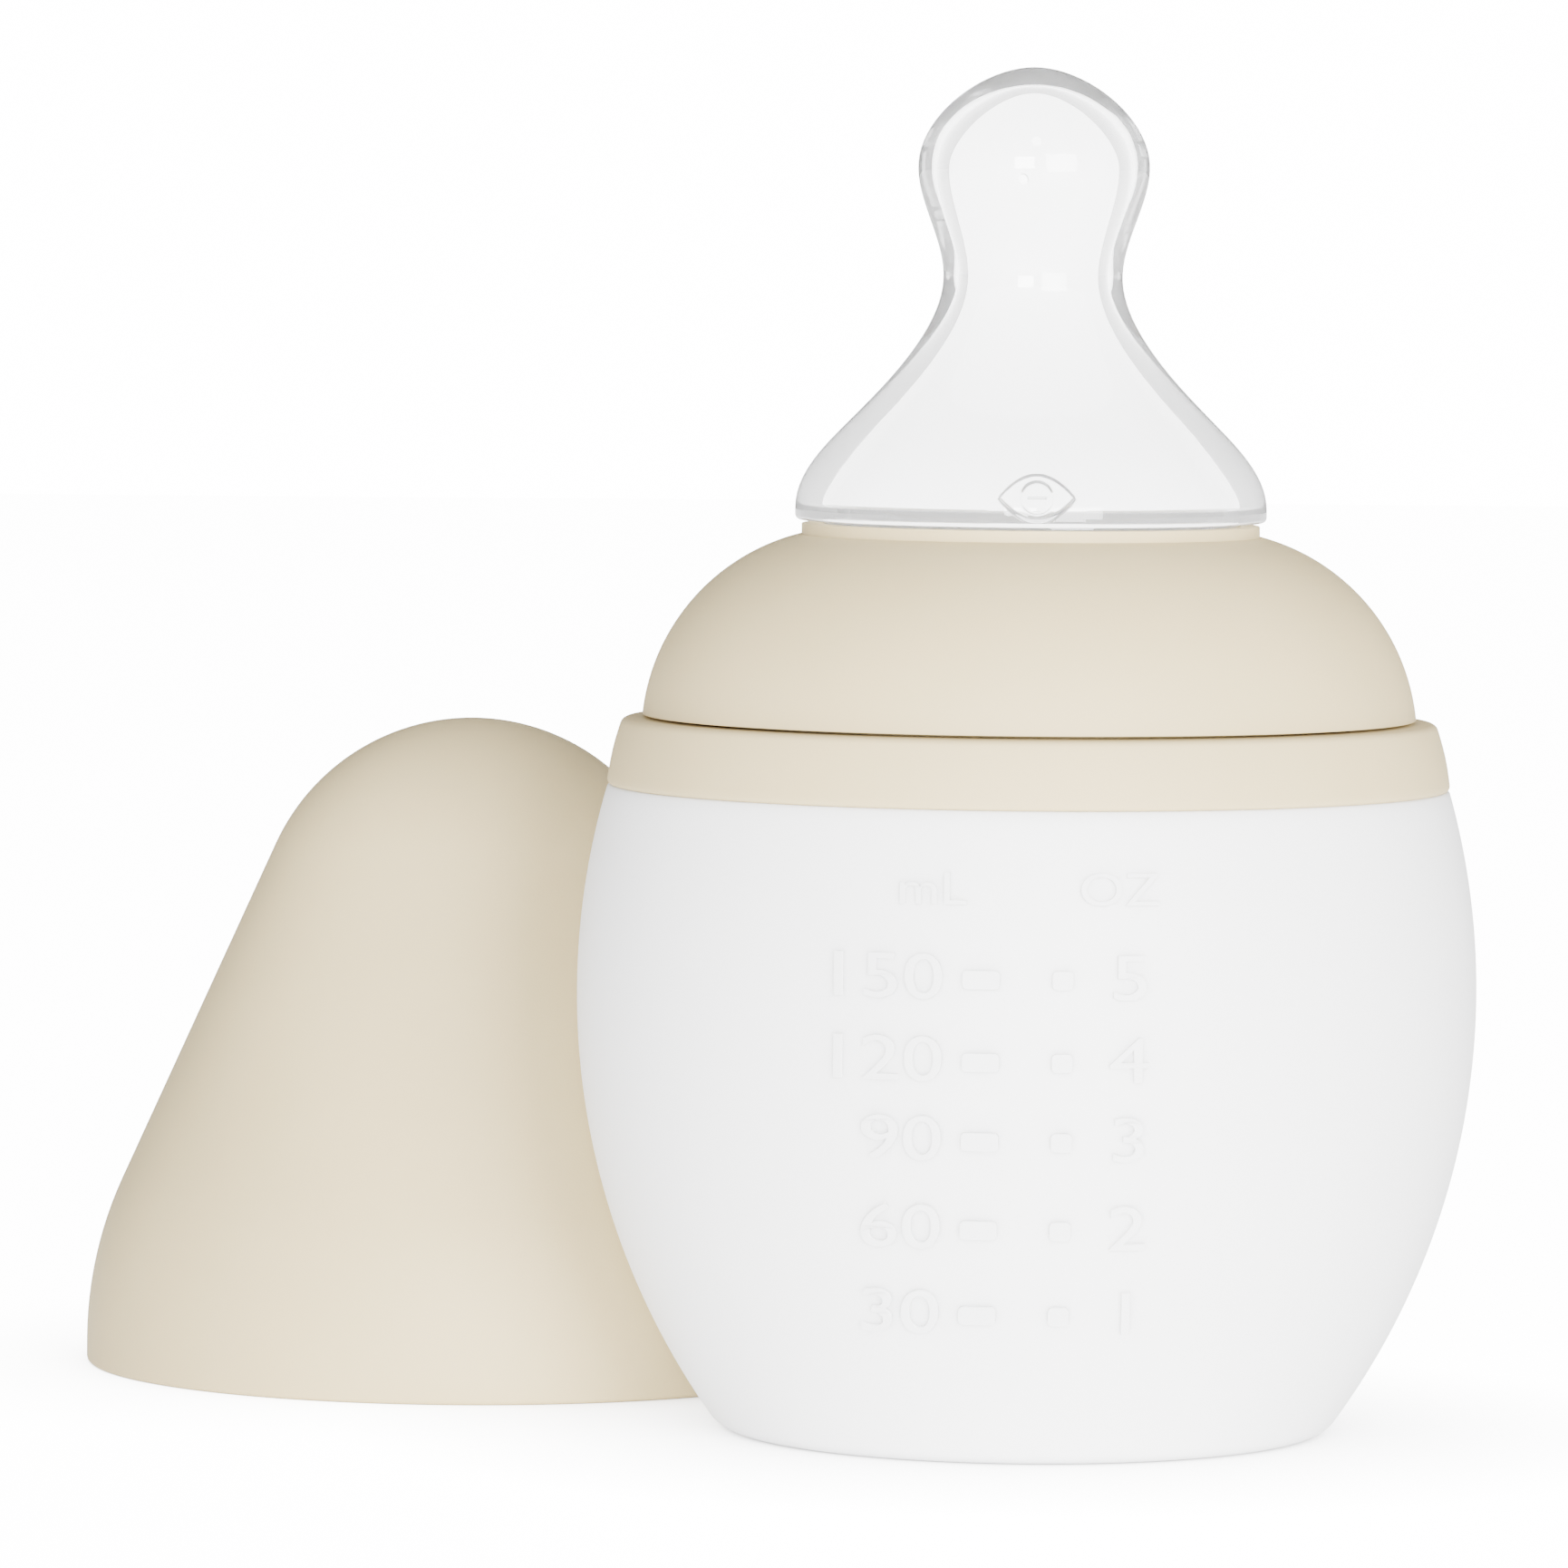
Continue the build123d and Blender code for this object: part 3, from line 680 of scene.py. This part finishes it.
def vent_dip(x, z):
    """How far the vent valve's face lies inside the bulge: an eye-shaped dip with a slit disc in it."""
    across, up = abs(x), abs(z - VENT_Z)
    lid = VENT_HALF_HEIGHT * (1 - (across / VENT_HALF_WIDTH) ** 2)
    dip = VENT_DEPTH * ease((lid - up) / VENT_EDGE)
    if dip > 0:
        dip -= VENT_DISC_RISE * ease((VENT_DISC - math.hypot(x, z - VENT_Z)) / VENT_DISC_EDGE)
    in_slit = across < VENT_SLIT[0] and up < VENT_SLIT[1]
    return dip + (VENT_SLIT_DEPTH if in_slit else 0)


def mould_vent(piece):
    """Refines the front of the bulge and pushes the valve's dip into it."""
    bpy.ops.object.mode_set(mode="EDIT")
    bpy.ops.mesh.select_mode(type="FACE")
    bpy.ops.mesh.select_all(action="DESELECT")
    skin = bmesh.from_edit_mesh(piece.data)
    for face in skin.faces:
        middle = face.calc_center_median()
        beside = abs(middle.x) < VENT_HALF_WIDTH * 1.1
        level = abs(middle.z - VENT_Z) < VENT_HALF_HEIGHT * 1.15
        face.select = beside and level and middle.y < 0 and face.normal.y < -0.3
    skin.select_flush_mode()
    bmesh.update_edit_mesh(piece.data)
    bpy.ops.mesh.subdivide(number_cuts=VENT_CUTS)
    skin = bmesh.from_edit_mesh(piece.data)
    for point in skin.verts:
        if point.select:
            point.co.y += vent_dip(point.co.x, point.co.z)
    bmesh.update_edit_mesh(piece.data)
    bpy.ops.mesh.select_mode(type="VERT")
    bpy.ops.object.mode_set(mode="OBJECT")


def pierce(piece, x, side, z):
    """Cuts one feeding hole through the front or back wall of the nipple."""
    bpy.ops.object.select_all(action="DESELECT")
    bpy.ops.mesh.primitive_cylinder_add(vertices=24, radius=FEED_HOLE, depth=NEEDLE_LENGTH,
                                        location=(x, side * NEEDLE_REACH, z), rotation=(math.pi / 2, 0, 0))
    needle = bpy.context.object
    cut = piece.modifiers.new("feeding_hole", "BOOLEAN")
    cut.object = needle
    cut.solver = "EXACT"
    bpy.context.view_layer.objects.active = piece
    bpy.ops.object.modifier_apply(modifier=cut.name)
    bpy.data.objects.remove(needle)


teat = turn_on_lathe("teat_silicone", teat_outline())
mould_vent(teat)
for hole_x, hole_side, hole_z in FEED_HOLES:
    pierce(teat, hole_x, hole_side, hole_z)
bpy.ops.object.select_all(action="DESELECT")
teat.select_set(True)
bpy.ops.object.shade_smooth_by_angle(angle=math.radians(50))
teat.data.materials.append(clear_silicone())
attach(teat, "teat")
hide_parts("teat")


# === Cap ===========================================================================================
# A tall, thin-walled cover of the same beige polypropylene. It stands on the ring's ledge when the
# bottle is closed, and beside the bottle when it is open.
CAP_RADIUS = 0.0364
CAP_WALL = 0.0014
CAP_CROWN = 0.0205
CAP_SIDE_ARC = 0.0369
CAP_FOOT = 0.002
CAP_CORNER = 0.0004
CAP_STEPS = 12
POLE_GAP = 0.02
cap_low, cap_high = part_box("cap")
CAP_HEIGHT = cap_high[2] - cap_low[2]
CAP_CENTRE = ((cap_low[0] + cap_high[0]) / 2, (cap_low[1] + cap_high[1]) / 2)


def cap_side(inset):
    """Half of the cap's section from the rim up to the crown: foot, side arc, cone and crown arc."""
    run = CAP_SIDE_ARC - CAP_RADIUS
    rise = CAP_HEIGHT - CAP_CROWN - CAP_FOOT
    lean = math.asin((CAP_SIDE_ARC - CAP_CROWN) / math.hypot(run, rise)) - math.atan2(run, rise)
    side = arc((-run, CAP_FOOT), CAP_SIDE_ARC - inset, 0, lean, CAP_STEPS)
    crown = arc((0, CAP_HEIGHT - CAP_CROWN), CAP_CROWN - inset, lean, math.pi / 2 - POLE_GAP, 28)
    cone = []
    for i in range(1, CAP_STEPS):
        share = i / CAP_STEPS
        cone.append(tuple(a + (b - a) * share for a, b in zip(side[-1], crown[0])))
    return [(CAP_RADIUS - inset, 0)] + side + cone + crown + [(0, CAP_HEIGHT - inset)]


cap = turn_on_lathe("cap_plastic", cap_side(CAP_WALL)[::-1] + cap_side(0), CAP_CENTRE)
round_corners(cap, CAP_CORNER)
cap.data.materials.append(BEIGE)
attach(cap, "cap")
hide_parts("cap")


# === Table, lights and camera ======================================================================
# A white table in a white room, a wide soft light from the right of the front, a weaker one from the left
# of the middle, and a camera with a long lens, level with the nipple and looking slightly down.
ROOM_LIGHT = 0.65
ROOM_SEEN = 16.0
TABLE_LIGHT = 2.0
TABLE_SEEN = 14.0
TABLE_SIZE = 6
TABLE_DROP = 0.00002
LAMP_AIM = (0, 0, 0.05)
CAMERA_PLACE = (-0.02199, -0.850, 0.10727)
CAMERA_DOWN = 3.316
CAMERA_TURN = 0.469
CAMERA_LENS = 217.05


def seen_directly(nodes, links, otherwise, seen):
    """One brightness for the eye and what it sees through the clear teat, another for everything else."""
    rays = nodes.new("ShaderNodeLightPath")
    straight = nodes.new("ShaderNodeMath")
    straight.operation = "MAXIMUM"
    links.new(rays.outputs["Is Camera Ray"], straight.inputs[0])
    links.new(rays.outputs["Is Transmission Ray"], straight.inputs[1])
    choice = nodes.new("ShaderNodeMapRange")
    choice.inputs["To Min"].default_value = otherwise
    choice.inputs["To Max"].default_value = seen
    links.new(straight.outputs["Value"], choice.inputs["Value"])
    return choice.outputs["Result"]


def studio():
    """Lays a glowing white table, its glow dimmed near the bottle and cap as a painted contact shadow, and
    fills the room with light.
    """
    bpy.ops.object.select_all(action="DESELECT")
    bpy.ops.mesh.primitive_plane_add(size=TABLE_SIZE, location=(0, 0, -TABLE_DROP))
    table = bpy.context.object
    table.name = "table"
    material = bpy.data.materials.new("white_table")
    material.use_nodes = True
    nodes, links = material.node_tree.nodes, material.node_tree.links
    shader = nodes["Principled BSDF"]
    shader.inputs["Base Color"].default_value = (0.93, 0.93, 0.93, 1)
    shader.inputs["Roughness"].default_value = 0.7
    shader.inputs["Emission Color"].default_value = (1, 1, 1, 1)
    # Ambient occlusion dims the table's glow near the bottle and cap: a painted contact shadow.
    corners = nodes.new("ShaderNodeAmbientOcclusion")
    corners.inputs["Distance"].default_value = 0.03
    glow_with_painted_shadow = nodes.new("ShaderNodeMath")
    glow_with_painted_shadow.operation = "MULTIPLY"
    links.new(seen_directly(nodes, links, TABLE_LIGHT, TABLE_SEEN), glow_with_painted_shadow.inputs[0])
    links.new(corners.outputs["AO"], glow_with_painted_shadow.inputs[1])
    links.new(glow_with_painted_shadow.outputs["Value"], shader.inputs["Emission Strength"])
    table.data.materials.append(material)
    world = bpy.data.worlds.new("white_room")
    world.use_nodes = True
    nodes, links = world.node_tree.nodes, world.node_tree.links
    room = nodes["Background"]
    room.inputs["Color"].default_value = (1, 1, 1, 1)
    links.new(seen_directly(nodes, links, ROOM_LIGHT, ROOM_SEEN), room.inputs["Strength"])
    bpy.context.scene.world = world


def soft_light(name, place, size, power):
    """A square soft light that faces the bottle."""
    lamp = bpy.data.lights.new(name, "AREA")
    lamp.size = size
    lamp.energy = power
    holder = bpy.data.objects.new(name, lamp)
    bpy.context.scene.collection.objects.link(holder)
    holder.location = place
    aim = Vector(LAMP_AIM) - holder.location
    holder.rotation_euler = aim.to_track_quat("-Z", "Y").to_euler()


studio()
soft_light("key_light", (0.5, -1.3, 0.25), 0.6, 60)
soft_light("fill_light", (-0.17, -1.3, 0.26), 0.35, 36)

view = bpy.data.cameras.new("front_camera")
view.sensor_width = 36
view.lens = CAMERA_LENS
view.clip_start = 0.01
camera = bpy.data.objects.new("front_camera", view)
bpy.context.scene.collection.objects.link(camera)
camera.location = CAMERA_PLACE
look = Matrix.Rotation(math.radians(90 - CAMERA_DOWN), 4, "X")
look @= Matrix.Rotation(math.radians(CAMERA_TURN), 4, "Z")
camera.rotation_euler = look.to_euler()
bpy.context.scene.camera = camera
